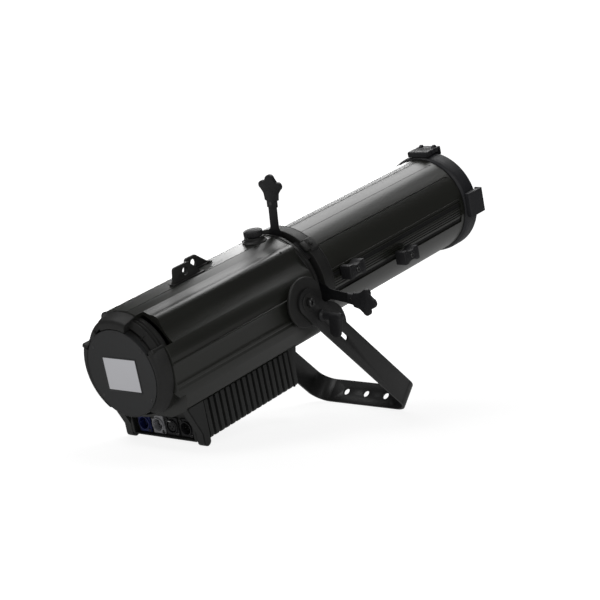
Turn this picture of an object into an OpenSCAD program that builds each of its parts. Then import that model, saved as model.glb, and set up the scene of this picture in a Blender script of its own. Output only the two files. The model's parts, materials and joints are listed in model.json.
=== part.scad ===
// Ellipsoidal profile spotlight with LED engine, zoom barrel, four shutters and floor-standing yoke.
// Millimetres. +X is the way the beam points over the ground, +Y is left, +Z is up, the floor is Z = 0.
// The fixture is drawn along its own optical axis and then tilted nose up by pitch.

/* [Pose] */
// Upward tilt of the optical axis, degrees
pitch = 16.6; // [14:0.1:18]
// Drop of the yoke arms below level, degrees
yoke_drop = 33.15; // [30:0.05:36]
// Height of the yoke pivot above the floor
pivot_h = 213.1; // [205:0.1:222]

/* [Housing] */
// Inner radius of the housing and the barrel
cavity_r = 84; // [80:0.5:84.5]
// Radius of the plain parts of the housing
housing_r = 88; // [87.5:0.5:89]
// Rear end of the housing extrusion on the axis
housing_rear = -568; // [-572:1:-566]
// Front end of the housing extrusion on the axis
housing_front = -214; // [-216:1:-212]
// Half width of the flat strip along the top
strip_half = 19.5; // [18:0.5:24]

/* [Barrel] */
// Outer radius of the lens tube
tube_r = 88; // [87.5:0.1:88.4]
// Front end of the lens tube on the axis
tube_front = 240.4; // [230:0.2:245]
// Width of the two focus slots in the tube
slot_w = 7; // [6:0.5:8]
// Outer radius of the front ring
ring_r = 93.5; // [91:0.5:95]
// Half width over the colour frame claws
claw_r = 102; // [100:0.5:104]
// Width of one claw
claw_w = 45; // [30:1:50]

/* [Shutters] */
// Thickness of a shutter blade
blade_t = 1; // [0.8:0.1:1.1]
// Distance between neighbouring blade planes
blade_gap = 2.2; // [2:0.1:2.2]
// Distance from the axis to the tip of a shutter grip
grip_tip = 196; // [190:1:200]
// How far the two side shutters stand further out than the others
side_draw = 3; // [0:0.5:4]

/* [Yoke] */
// Width of the yoke strap
strap_w = 45; // [40:1:46]
// Thickness of the yoke strap
strap_t = 5; // [4:0.5:6]
// Distance from the centre plane to the inner face of a yoke arm
strap_y = 103.7; // [103:0.1:105]
// Radius of the three mounting holes
yoke_hole_r = 6.5; // [5:0.1:7]
// Distance between neighbouring mounting holes
yoke_hole_pitch = 45; // [40:1:50]

/* [Driver box] */
// Half width of the driver box
box_half = 88; // [86:0.5:90]
// Number of slots between the cooling ribs
slots = 17; // [8:1:17]
// Distance from one rib to the next
rib_pitch = 13.3; // [12:0.1:13.3]
// Thickness of one rib
rib_t = 8.3; // [6:0.1:9]

/* [Hidden] */
$fn = 96;

// Finishes
satin_black = [0.16, 0.16, 0.155];
cast_black = [0.12, 0.12, 0.12];
matt_black = [0.10, 0.10, 0.105];
steel = [0.62, 0.62, 0.62];
bare_aluminium = [0.75, 0.76, 0.77];
glass_tint = [0.75, 0.85, 0.9, 0.6];
board_green = [0.08, 0.30, 0.16];

// Clearances
fit = 0.05;      // shaft in a turning or sliding hole
seat = 0.02;     // screw or lens in its seat

// Yoke pivot on the fixture, and the height of the optical axis over the floor at x = 0
pivot_x = -256;
pivot_z = -5.5;
axis_h = pivot_h - (sin(pitch) * pivot_x + cos(pitch) * pivot_z);

// Ends of the fixture along its axis
rear_x = -592;
claw_front = 285;
bridge_z = 90;
bridge_foot_r = 78;
disc_r = 73;
drum_rear = -584;
drum_bore_r = 69;
flange_r = cavity_r - 0.3;
flange_rear = -562;
flange_front = -556;
recess_start = 24;
recess_end = 68;
recess_front = -550;
skirt_rear = -554;
cheek_rear = -553;
// Shift along X that centres the tilted fixture on the origin
rear_reach = cos(pitch) * rear_x - sin(pitch) * bridge_foot_r;
front_reach = cos(pitch) * claw_front + sin(pitch) * claw_r;
shift_x = -(front_reach + rear_reach) / 2;

// Driver box
box_rear = -533;
post_front = -516;
post_r = 8;
box_top = -90.4;
box_floor = -129;
rib_bottom = -139;
rib_top = -71.3;
wall = 3;
// Round foot of the rear posts, set so that it touches the floor
foot_x = box_rear + post_r;
foot_z = (post_r - axis_h - sin(pitch) * foot_x) / cos(pitch);

// Shutters: planes from rear to front
bottom_plane = -197.6;
top_plane = bottom_plane + blade_gap;
left_plane = top_plane + blade_gap;
right_plane = left_plane + blade_gap;
side_tilt = 8;
top_tilt = 6.6;
bottom_tilt = 10;

// Yoke arm from the pivot to the outer face of the crossbar, which stands on its lower edge
arm_len = (pivot_h - strap_w / 2 * cos(yoke_drop)) / sin(yoke_drop);
bend_r = 32;

// ---- frames and primitives ----

module pitched() translate([shift_x, 0, axis_h]) rotate([0, -pitch, 0]) children();

module at_yoke() pitched() translate([pivot_x, 0, pivot_z]) rotate([0, pitch + yoke_drop, 0]) children();

// Profile in Y and Z, drawn out along X
module along_x(x0, x1) translate([x0, 0, 0]) rotate([90, 0, 90]) linear_extrude(x1 - x0) children();

// Profile in X and Z, drawn out along Y
module along_y(y0, y1) translate([0, y1, 0]) rotate([90, 0, 0]) linear_extrude(y1 - y0) children();

// Profile in radius and X, turned about the X axis
module turned() rotate([0, 90, 0]) rotate_extrude() children();

module rod_x(x0, x1, r) translate([x0, 0, 0]) rotate([0, 90, 0]) cylinder(h = x1 - x0, r = r);

module rod_y(y0, y1, r) translate([0, y1, 0]) rotate([90, 0, 0]) cylinder(h = y1 - y0, r = r);

module ring_x(x0, x1, outer, inner) difference() {
    rod_x(x0, x1, outer);
    rod_x(x0 - 1, x1 + 1, inner);
}

module block(x0, x1, y0, y1, z0, z1) translate([x0, y0, z0]) cube([x1 - x0, y1 - y0, z1 - z0]);

module both_sides() for (side = [0, 1]) mirror([0, side, 0]) children();

// Turns a piece drawn on the top of the barrel to an angle about the optical axis
module around(angle) rotate([angle, 0, 0]) children();

// Wedge in Y and Z between two angles measured up from the +Y axis
module wedge(from, to, r) polygon([
    [0, 0], [r * cos(from), r * sin(from)],
    [1.3 * r * cos((from + to) / 2), 1.3 * r * sin((from + to) / 2)], [r * cos(to), r * sin(to)]
]);

// ---- housing ----

module rib_mark(angle, r, w) rotate(angle) translate([cavity_r + 1, -w / 2]) square([r - cavity_r - 1, w]);

module housing_outline() {
    circle(r = housing_r);
    translate([-strip_half, 0]) square([2 * strip_half, 91]);
    for (side = [0, 1]) mirror([side, 0]) {
        rib_mark(51.3, 97, 7);
        rib_mark(5, 96, 3);
        rib_mark(-16.6, 96.5, 5);
        intersection() {
            circle(r = 91);
            wedge(54, 76, 120);
        }
        intersection() {
            circle(r = 94);
            wedge(3, 26, 120);
        }
        polygon([
            [70, -26], [93.5, -33], [92, -50], [88, -71], [84, -76], [60, -86], [50, -90], [0, -90], [0, -80]
        ]);
    }
}

module housing_hollow() {
    circle(r = cavity_r);
    for (side = [0, 1]) mirror([side, 0]) polygon([[70, -22], [82, -24], [82, -66], [70, -72], [50, -72]]);
}

module housing_shell() color(satin_black) pitched() difference() {
    along_x(housing_rear, housing_front) difference() {
        housing_outline();
        housing_hollow();
    }
    // Air recesses at the rear, and the round rear end below the middle
    both_sides() along_x(housing_rear - 1, recess_front) wedge(recess_start, recess_end, 130);
    along_x(housing_rear - 1, skirt_rear) difference() {
        translate([-100, -120]) square([200, 80]);
        circle(r = housing_r);
    }
    // Flats and holes for the pivot bosses
    both_sides() translate([pivot_x, 0, pivot_z]) {
        rod_y(88, 130, 36);
        rod_y(70, 130, 5 + seat);
    }
    // Hole for the top knob
    translate([-238, 0, 60]) cylinder(h = 60, r = 4 + fit);
    // Cable way to the driver box and its four screws
    translate([-470, 0, -100]) cylinder(h = 40, r = 9);
    for (x = [-500, -320], y = [-30, 30]) translate([x, y, -100]) cylinder(h = 40, r = 2 + seat);
    // Small holes on the ridge near the front
    both_sides() around(-38.7) translate([-246, 0, 80]) cylinder(h = 30, r = 2);
}

module rear_shell_sector(from, to) intersection() {
    difference() {
        turned() polygon([
            [0, rear_x], [bridge_foot_r, rear_x], [82, rear_x + 2], [84.5, rear_x + 6],
            [bridge_z, housing_rear], [flange_r, housing_rear], [flange_r, flange_rear], [0, flange_rear]
        ]);
        translate([0, 0, pivot_z]) rod_x(rear_x - 1, drum_rear + seat, disc_r + 0.5);
        translate([0, 0, pivot_z]) rod_x(rear_x - 1, flange_rear + 1, drum_bore_r);
    }
    along_x(rear_x, flange_rear) wedge(from, to, 130);
}

module rear_casting() color(cast_black) pitched() difference() {
    union() {
        rod_x(flange_rear, flange_front, flange_r);
        translate([0, 0, pivot_z]) ring_x(drum_rear, flange_rear, disc_r, drum_bore_r);
        rear_shell_sector(recess_end, 180 - recess_end);
        rear_shell_sector(-55, recess_start);
        rear_shell_sector(180 - recess_start, 235);
    }
    rod_x(-600, -550, 45);
    for (y = [-41.25, 41.25], z = [-41.25, 41.25]) translate([0, y, z]) rod_x(-600, -550, 2.2);
    both_sides() translate([0, 60, -30]) rod_x(-600, -550, 9);
    both_sides() along_x(-563, -550) intersection() {
        difference() {
            circle(r = 80);
            circle(r = 74);
        }
        wedge(recess_start + 4, recess_end - 4, 120);
    }
}

module vent_rings() color(cast_black) pitched() both_sides() intersection() {
    for (x = [-579, -571]) ring_x(x, x + 3, 82, 74);
    along_x(-580, -560) wedge(recess_start, recess_end, 130);
}

module display_bezel() color(matt_black) pitched() translate([0, 0, pivot_z]) difference() {
    union() {
        rod_x(rear_x, drum_rear, disc_r);
        for (a = [30, 150, 270]) around(a) translate([0, 0, 64]) rod_x(-584, -579, 4);
    }
    block(rear_x - 1, rear_x + 1.5, -35.25, 35.25, -28.65, 24.65);
    block(rear_x + 1, -583, -30, 30, -22, 18);
}

module touch_screen() color([0.85, 0.87, 0.88]) pitched() translate([0, 0, pivot_z])
    block(rear_x + 0.2, rear_x + 1.5, -35.2, 35.2, -28.6, 24.6);

module display_board() color(board_green) pitched() translate([0, 0, pivot_z]) {
    block(-584, -582.4, -40, 40, -32, 30);
    for (y = [-24, 4]) block(-582.4, -579.4, y, y + 16, -20, -4);
}

module fan_frame() color(matt_black) pitched() difference() {
    block(flange_front + 0.1, flange_front + 25.1, -46, 46, -46, 46);
    rod_x(-560, -520, 44);
    for (y = [-41.25, 41.25], z = [-41.25, 41.25]) translate([0, y, z]) rod_x(-560, -520, 2.2);
}

module fan_rotor() color([0.2, 0.2, 0.2]) pitched() {
    rod_x(-553, -535, 18);
    for (a = [0:51.428:359]) around(a) intersection() {
        translate([-544, 0, 30]) rotate([0, 0, 38]) cube([20, 1.6, 27], center = true);
        rod_x(-553, -535, 43);
    }
}

module fan_screws() color(steel) pitched() for (y = [-41.25, 41.25], z = [-41.25, 41.25])
    translate([0, y, z]) {
        rod_x(-565, -562, 3.6);
        rod_x(-562, -528, 2.1);
    }

// ---- light engine ----

module heat_sink() color(bare_aluminium) pitched() {
    block(-433, -425, -52, 52, -52, 52);
    for (i = [0:19]) block(-513, -433, -50.5 + i * 5.2, -49 + i * 5.2, -52, 52);
}

module led_board() color([0.85, 0.85, 0.83]) pitched() block(-425, -422, -38, 38, -38, 38);

module led_emitter() color([0.95, 0.85, 0.35]) pitched() rod_x(-422, -420.5, 15);

module collimator_lens() color(glass_tint) pitched() turned()
    polygon([[0, -420], [15.5, -420], [36, -387], [36, -384], [0, -390]]);

module engine_bulkhead() color(bare_aluminium) pitched() difference() {
    rod_x(-384, -380, cavity_r - 0.1);
    rod_x(-390, -370, 34);
}

module condenser_mount() color(matt_black) pitched() difference() {
    union() {
        ring_x(-312, -294, 52, 45 + seat);
        rod_x(-305, -301, cavity_r - 0.1);
    }
    rod_x(-320, -290, 45 + seat);
    for (a = [30:60:330]) around(a) translate([0, 0, 68]) rod_x(-320, -290, 9);
}

module condenser_lens() color(glass_tint) pitched() intersection() {
    rod_x(-310, -296, 45);
    translate([-310 - 65 + 14, 0, 0]) sphere(r = 79.1);
}

module gate_plate() color(steel) pitched() difference() {
    rod_x(-206, -203, cavity_r - 0.1);
    rod_x(-210, -200, 40);
}

// ---- gate and barrel ----

module front_bezel() color(cast_black) pitched() ring_x(housing_front, -200, 91, cavity_r);

module gate_ring() color(matt_black) pitched() difference() {
    ring_x(-200, -190, 91, cavity_r);
    // Four windows for the shutter blades
    for (a = [0:90:270]) rotate([a, 0, 0]) block(-199, -189, -51, 51, 60, 120);
}

module gate_clamps() color(cast_black) pitched() for (a = [45:90:315]) around(a) {
    difference() {
        block(-190, -168, -12, 12, 90, 100);
        rod_x(-191, -167, 95.5);
    }
    translate([-179, 0, 99]) cylinder(h = 4, r = 3.4);
}

module barrel_collar() color(cast_black) pitched() turned() polygon([
    [80, -190], [95.5, -190], [95.5, -168], [88.4, -157], [tube_r + seat, -157], [tube_r + seat, -172],
    [80, -172]
]);

module lens_tube() color(satin_black) pitched() difference() {
    ring_x(-172, tube_front, tube_r, cavity_r);
    // Slots for the two focus knobs on the right side
    block(-165, 230, -95, -70, 4.8 - slot_w / 2, 4.8 + slot_w / 2);
    block(-165, 230, -95, -70, -23 - slot_w / 2, -23 + slot_w / 2);
    // Grooves along the tube
    for (a = [41.6, 138.4]) around(a - 90) block(-173, tube_front + 1, -1, 1, tube_r - 1.2, tube_r + 1);
}

module carriage(x) difference() {
    union() {
        ring_x(x - 15, x - 11, cavity_r - 0.2, 62);
        ring_x(x + 11, x + 15, cavity_r - 0.2, 62);
        ring_x(x - 15, x + 15, 68, 62);
    }
}

// Radius of the two spherical faces of a barrel lens
lens_sphere_r = 300;

// Biconvex lens whose faces meet the barrel of its carriage
module lens_body(x) turned() intersection() {
    translate([0, x - 9]) square([62 - seat, 18]);
    translate([0, x + 9 - lens_sphere_r]) circle(r = lens_sphere_r, $fn = 480);
    translate([0, x - 9 + lens_sphere_r]) circle(r = lens_sphere_r, $fn = 480);
}

// Clamping knob with two hollow sides; its screw passes the slot into the carriage
module slide_knob(x, z) translate([x, 0, z]) {
    along_y(-113, -91) difference() {
        square([43, 25], center = true);
        translate([0, 36]) circle(r = 27.5);
        translate([0, -36]) circle(r = 27.5);
    }
    rod_y(-91, -69.5, slot_w / 2 - fit);
    difference() {
        rod_y(-114.4, -113, 5);
        rod_y(-115, -113.6, 2.5);
    }
}

module knob_seat(x, z) translate([x, 0, z]) rod_y(-83, -60, slot_w / 2 + seat);

module zoom_carriage() color(bare_aluminium) pitched() difference() {
    carriage(-120);
    knob_seat(-120, 4.8);
}

module zoom_lens() color(glass_tint) pitched() lens_body(-120);

module zoom_knob() color(matt_black) pitched() slide_knob(-120, 4.8);

module focus_carriage() color(bare_aluminium) pitched() difference() {
    carriage(31.8);
    knob_seat(31.8, -23);
}

module focus_lens() color(glass_tint) pitched() lens_body(31.8);

module focus_knob() color(matt_black) pitched() slide_knob(31.8, -23);

module front_ring() color(matt_black) pitched() turned() polygon([
    [81, 226], [cavity_r - seat, 226], [cavity_r - seat, tube_front], [89, tube_front], [ring_r - 1, 245],
    [ring_r, 250], [ring_r, 274], [ring_r - 2, 276], [81, 276]
]);

// One claw on the top of the ring, with a slot for the edge of a colour frame
module claw(outer, slot_floor) difference() {
    block(tube_front, claw_front, -claw_w / 2, claw_w / 2, 86, outer);
    rod_x(230, 276, ring_r);
    block(276, 282.4, -30, 30, 80, slot_floor);
}

module frame_claws() color(matt_black) pitched() {
    for (a = [90, 270]) around(a) claw(claw_r, 98);
    // The bottom claw stays within the ring's outline
    around(180) claw(ring_r - 0.5, 90);
    // Base of the latch with two ears
    difference() {
        union() {
            block(tube_front, 257, -claw_w / 2, claw_w / 2, 86, claw_r);
            both_sides() block(256, 266, 18.3, claw_w / 2, 94, claw_r);
        }
        rod_x(230, 276, ring_r);
        translate([262, 0, 98]) rod_y(-30, 30, 2 + seat);
        block(256.5, 267, -18.3, 18.3, 80, 110);
    }
}

module frame_latch() color(matt_black) pitched() {
    difference() {
        union() {
            translate([262, 0, 98]) rod_y(-18, 18, 4);
            block(262, 270, -18, 18, 94, claw_r);
            block(268, claw_front, -claw_w / 2, claw_w / 2, 94, claw_r);
            block(282.4, claw_front, -claw_w / 2, claw_w / 2, 86, claw_r);
            both_sides() along_y(12, 18) polygon([
                [268, claw_r], [276, claw_r + 4], [279, claw_r + 4], [281, claw_r]
            ]);
        }
        block(276, 282.4, -30, 30, 80, 98);
        translate([262, 0, 98]) rod_y(-30, 30, 2 + seat);
    }
    translate([262, 0, 98]) rod_y(-claw_w / 2, claw_w / 2, 2);
}

// ---- driver box ----

module rib_outline() {
    translate([-box_half + 8, rib_bottom]) square([2 * box_half - 16, 30]);
    translate([-box_half, rib_bottom + 8]) square([2 * box_half, 30]);
    both_sides_2d() translate([box_half - 8, rib_bottom + 8]) circle(r = 8);
    both_sides_2d() polygon([
        [60, rib_bottom + 20], [box_half, rib_bottom + 20], [box_half, rib_top], [84.3, -76.4], [60, -86.4],
        [50, box_top], [0, box_top], [0, rib_bottom + 20]
    ]);
}

module both_sides_2d() for (side = [0, 1]) mirror([side, 0]) children();

module rib_2d_cut() translate([-66, box_floor + wall]) square([132, box_top - wall - box_floor - wall]);

module rib(x) along_x(x, x + rib_t) difference() {
    rib_outline();
    rib_2d_cut();
}

module rear_posts() both_sides() difference() {
    union() {
        along_y(68, box_half) polygon([
            [cheek_rear, rib_top], [post_front, rib_top], [post_front, foot_z], [box_rear, foot_z],
            [box_rear, foot_z + 16], [cheek_rear, rib_top - 6]
        ]);
        along_y(68, box_half) {
            translate([foot_x, foot_z]) circle(r = post_r);
            translate([foot_x, foot_z - post_r]) square([post_front - foot_x - 4, 2 * post_r]);
        }
    }
    along_x(cheek_rear - 1, post_front + 1) polygon([[60, -86.3], [84.3, -76.3], [95, -60], [60, -60]]);
}

module driver_box() color(cast_black) pitched() difference() {
    union() {
        // Casing between the ribs
        along_x(post_front, -300) difference() {
            union() {
                translate([-72, box_floor]) square([144, box_top - box_floor]);
                both_sides_2d() polygon([[60, -100], [76, -100], [76, -80.2], [60, -86.8]]);
            }
            rib_2d_cut();
        }
        for (i = [0:slots - 1]) rib(-516 + i * rib_pitch);
        // Sloping front wall
        intersection() {
            along_y(-box_half, box_half) polygon([
                [-305, -66], [-282.3, rib_top], [-299, -135], [-300, rib_bottom], [-305, rib_bottom]
            ]);
            along_x(-306, -270) rib_outline();
        }
    }
    for (x = [-500, -320], y = [-30, 30]) translate([x, y, -100]) cylinder(h = 40, r = 2 + seat);
    translate([-470, 0, -100]) cylinder(h = 40, r = 9);
    for (y = connector_y) translate([0, y, connector_z]) rod_x(post_front - 1, -499, 12.1);
}

// Rear posts and the frame round the connector panel
module box_rear_frame() color(cast_black) pitched() {
    rear_posts();
    along_x(box_rear, post_front) difference() {
        translate([-70, rib_bottom - 1]) square([140, box_top - rib_bottom + 1]);
        rib_2d_cut();
        translate([-67.5, -138.2]) square([135, 44]);
    }
}

connector_y = [46.5, 15.5, -15.5, -46.5];
connector_z = -121;
panel_x = -524;

module rear_panel() color(cast_black) pitched() difference() {
    block(panel_x, panel_x + 3, -67.4, 67.4, -138, -94.4);
    for (y = connector_y) translate([0, y, connector_z]) rod_x(-530, -515, 12.1);
    for (y = connector_y, s = [-1, 1])
        translate([0, y + s * 9.5, connector_z + s * 12]) rod_x(-530, -515, 1.6);
}

module flange(y) translate([0, y, connector_z]) difference() {
    union() {
        block(panel_x - 2.5, panel_x, -13, 13, -15.5, 15.5);
        rod_x(panel_x, -500, 12);
        rod_x(panel_x - 5, panel_x, 12);
    }
    for (s = [-1, 1]) translate([0, s * 9.5, s * 12]) rod_x(-530, -515, 1.6);
}

module power_socket(y) difference() {
    flange(y);
    translate([0, y, connector_z]) difference() {
        rod_x(-530, -512, 10.3);
        rod_x(-517, -511, 5);
    }
}

module power_inlet() color([0.12, 0.3, 0.7]) pitched() power_socket(connector_y[0]);

module power_outlet() color([0.8, 0.8, 0.82]) pitched() power_socket(connector_y[1]);

module dmx_output() color(matt_black) pitched() difference() {
    flange(connector_y[2]);
    translate([0, connector_y[2], connector_z]) {
        ring_x(-530, -514, 10.3, 8);
        for (a = [90, 180, 270]) around(a) translate([0, 0, 4]) rod_x(-530, -514, 1.3);
        block(-530, -519, -3.1, 3.1, 9.2, 11.3);
    }
}

module dmx_latch() color(steel) pitched() translate([0, connector_y[2], connector_z])
    block(-531.5, -521.5, -3, 3, 9.3, 11.2);

module dmx_input() color(matt_black) pitched() {
    difference() {
        flange(connector_y[3]);
        translate([0, connector_y[3], connector_z]) rod_x(-530, -512, 10.3);
    }
    translate([0, connector_y[3], connector_z]) for (a = [90, 180, 270]) around(a) translate([0, 0, 4])
        rod_x(-524, -512, 1.2);
}

module panel_screws() color(steel) pitched() {
    for (y = connector_y, s = [-1, 1]) translate([0, y + s * 9.5, connector_z + s * 12]) {
        rod_x(panel_x - 4.3, panel_x - 2.5, 2.8);
        rod_x(panel_x - 2.5, panel_x + 5, 1.5);
    }
}

module fuse_holder() color(matt_black) pitched() translate([0, -56, -99.9]) {
    rod_x(-529, panel_x, 5);
}

module driver_board() color(board_green) pitched() {
    block(-500, -315, -58, 58, -122, -120.4);
    for (x = [-480, -445]) translate([x, -35, -120.4]) cylinder(h = 18, r = 9);
    block(-420, -380, -20, 20, -120.4, -100);
    block(-365, -335, -45, -15, -120.4, -106);
    for (i = [0:3]) block(-492 + i * 4, -490 + i * 4, 10, 40, -120.4, -108);
    for (x = [-495, -320], y = [-52, 52]) translate([x, y, -126]) cylinder(h = 4, r = 3);
}

module box_screws() color(steel) pitched() for (x = [-500, -320], y = [-30, 30]) translate([x, y, 0]) {
    translate([0, 0, -96.8]) cylinder(h = 3, r = 3.5);
    translate([0, 0, -94]) cylinder(h = 14, r = 2);
}

// ---- top fittings ----

module safety_lugs() color(cast_black) pitched() {
    difference() {
        along_y(-14, -9) polygon([[-455, 91], [-448, 118], [-413, 118], [-387, 91]]);
        translate([-424, 0, 105]) rod_y(-20, 20, 6.5);
    }
    difference() {
        along_y(9, 14) polygon([[-402, 91], [-395, 114.5], [-372, 114.5], [-343, 93], [-343, 91]]);
        translate([-380, 0, 102.5]) rod_y(-20, 20, 6.5);
    }
}

module knob_boss() color(cast_black) pitched() translate([-238, 0, 0]) difference() {
    union() {
        translate([0, 0, 91]) cylinder(h = 4, r1 = 19, r2 = 17);
        translate([0, 0, 95]) cylinder(h = 4.6, r = 17);
    }
    translate([0, 0, 80]) cylinder(h = 30, r = 4 + fit);
}

module top_knob() color(matt_black) pitched() translate([-238, 0, 0]) {
    difference() {
        translate([0, 0, 100]) cylinder(h = 12, r = 16.4);
        for (a = [0:15:345]) rotate(a) translate([17.6, 0, 99]) cylinder(h = 14, r = 2);
    }
    translate([0, 0, 82]) cylinder(h = 18, r = 4);
}

// ---- yoke ----

module pivot_bosses() color(cast_black) pitched() both_sides() translate([pivot_x, 0, pivot_z]) difference() {
    rod_y(88, 97.7, 35);
    rod_y(80, 130, 5 + seat);
}

module friction_discs() color(matt_black) pitched() both_sides() translate([pivot_x, 0, pivot_z])
    difference() {
        rod_y(97.7, strap_y - 0.1, 42.6);
        rod_y(80, 130, 5 + seat);
    }

module pivot_bolts() color(steel) pitched() both_sides() translate([pivot_x, 0, pivot_z]) {
    rod_y(79, strap_y + strap_t + 2, 5);
    difference() {
        rod_y(strap_y + strap_t, strap_y + strap_t + 2, 15);
        rod_y(strap_y + strap_t - 1, strap_y + strap_t + 3, 5);
    }
    difference() {
        rod_y(strap_y + strap_t + 2, strap_y + strap_t + 9, 6.5);
        rod_y(strap_y + strap_t + 5, strap_y + strap_t + 10, 3);
    }
}

// U of the strap seen from above its flat side
module strap_u(r_end, corner, half) {
    square_y = half - corner;
    translate([0, -half]) square([r_end - corner, 2 * half]);
    translate([0, -square_y]) square([r_end, 2 * square_y]);
    for (s = [-1, 1]) translate([r_end - corner, s * square_y]) circle(r = corner);
}

module arm_slot() {
    block(72, 122, 90, 130, -4.5, 4.5);
    translate([72, 0, 0]) rod_y(90, 130, 4.5);
    translate([122, 0, 0]) rod_y(90, 130, 4.5);
}

module yoke_strap() color(satin_black) at_yoke() difference() {
    union() {
        translate([0, 0, -strap_w / 2]) linear_extrude(strap_w) difference() {
            strap_u(arm_len, bend_r, strap_y + strap_t);
            translate([-1, 0]) strap_u(arm_len - strap_t + 1, bend_r - strap_t, strap_y);
        }
        both_sides() {
            rod_y(strap_y, strap_y + strap_t, strap_w / 2);
            intersection() {
                translate([73, 0, -10.4]) rod_y(strap_y, strap_y + strap_t, 47);
                block(0, 150, 90, 130, 0, 60);
            }
        }
    }
    rod_y(-130, 130, 5 + fit);
    both_sides() arm_slot();
    both_sides() translate([42, 0, -1]) rod_y(90, 130, 5 + fit);
    for (i = [-1:1]) translate([0, i * yoke_hole_pitch, 0]) rod_x(arm_len - 20, arm_len + 20, yoke_hole_r);
}

// Clamp lever: screw through the arm, bent handle hanging from its outer end
module lock_lever() translate([42, 0, -1]) rotate([0, -yoke_drop, 0]) {
    rod_y(strap_y + 0.2, strap_y + strap_t + 1, 5);
    rod_y(strap_y + strap_t + 0.3, strap_y + strap_t + 5, 9);
    rod_y(strap_y + strap_t + 4, 153, 6.5);
    translate([-6, 127, -30]) cube([9, 26, 30]);
    translate([-1.5, 127, -30]) rod_y(0, 26, 4.5);
}

module lock_lever_left() color(matt_black) at_yoke() lock_lever();

module lock_lever_right() color(matt_black) at_yoke() mirror([0, 1, 0]) lock_lever();

// ---- shutters ----

// Blade drawn upwards from the axis
module blade_outline() polygon([
    [-38, 46], [38, 46], [38, 66], [14, 84], [14, 94], [9.2, 101], [9.2, 150],
    [-9.2, 150], [-9.2, 101], [-14, 94], [-14, 84], [-38, 66]
]);

module grip_outline() {
    translate([-9.2, 138]) square([18.4, 14]);
    polygon([
        [-9.2, 148], [-13.5, 152], [-14.5, 162], [-19, 172], [19, 172], [14.5, 162], [13.5, 152], [9.2, 148]
    ]);
    translate([0, 164]) square([26, 22], center = true);
    for (s = [-1, 1]) translate([s * 16.5, 177]) circle(r = 7);
    translate([-16.5, 170]) square([33, 14]);
    translate([0, grip_tip - 9]) circle(r = 9);
}

// A shutter drawn upwards is turned to its own place and drawn out of the gate by draw
module shutter_frame(angle, draw = 0) pitched() rotate([angle, 0, 0]) translate([0, 0, draw]) children();

module blade(plane) difference() {
    along_x(plane - blade_t / 2, plane + blade_t / 2) blade_outline();
    translate([0, 0, 146]) rod_x(plane - 5, plane + 5, 2 + seat);
}

module grip(plane) {
    difference() {
        along_x(plane - 4, plane + 4) grip_outline();
        // Pocket for the blade
        block(plane - blade_t / 2, plane + blade_t / 2, -9.2, 9.2, 130, 150);
        translate([0, 0, 146]) rod_x(plane - 9, plane + 9, 2 + seat);
    }
    // Rivet
    translate([0, 0, 146]) {
        rod_x(plane - 4, plane + 4, 2);
        difference() {
            rod_x(plane - 4.5, plane + 4.5, 3.2);
            rod_x(plane - 4, plane + 4, 4);
        }
    }
}

module shutter_top_blade() color(steel) shutter_frame(top_tilt) blade(top_plane);

module shutter_top_grip() color(matt_black) shutter_frame(top_tilt) grip(top_plane);

module shutter_right_blade() color(steel) shutter_frame(90 + side_tilt, side_draw) blade(right_plane);

module shutter_right_grip() color(matt_black) shutter_frame(90 + side_tilt, side_draw) grip(right_plane);

module shutter_left_blade() color(steel) shutter_frame(-90 - side_tilt, side_draw) blade(left_plane);

module shutter_left_grip() color(matt_black) shutter_frame(-90 - side_tilt, side_draw) grip(left_plane);

module shutter_bottom_blade() color(steel) shutter_frame(180 + bottom_tilt) blade(bottom_plane);

module shutter_bottom_grip() color(matt_black) shutter_frame(180 + bottom_tilt) grip(bottom_plane);

// ---- nodes ----

housing_shell();
rear_casting();
vent_rings();
display_bezel();
touch_screen();
display_board();
fan_frame();
fan_rotor();
fan_screws();
heat_sink();
led_board();
led_emitter();
collimator_lens();
engine_bulkhead();
condenser_mount();
condenser_lens();
gate_plate();
front_bezel();
gate_ring();
gate_clamps();
barrel_collar();
lens_tube();
zoom_carriage();
zoom_lens();
zoom_knob();
focus_carriage();
focus_lens();
focus_knob();
front_ring();
frame_claws();
frame_latch();
driver_box();
box_rear_frame();
rear_panel();
driver_board();
box_screws();
power_inlet();
power_outlet();
dmx_output();
dmx_latch();
dmx_input();
panel_screws();
fuse_holder();
safety_lugs();
knob_boss();
top_knob();
pivot_bosses();
friction_discs();
pivot_bolts();
yoke_strap();
lock_lever_right();
lock_lever_left();
shutter_top_blade();
shutter_top_grip();
shutter_right_blade();
shutter_right_grip();
shutter_left_blade();
shutter_left_grip();
shutter_bottom_blade();
shutter_bottom_grip();
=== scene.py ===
import json
import math

import bmesh
import bpy
from mathutils import Matrix, Vector


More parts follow.
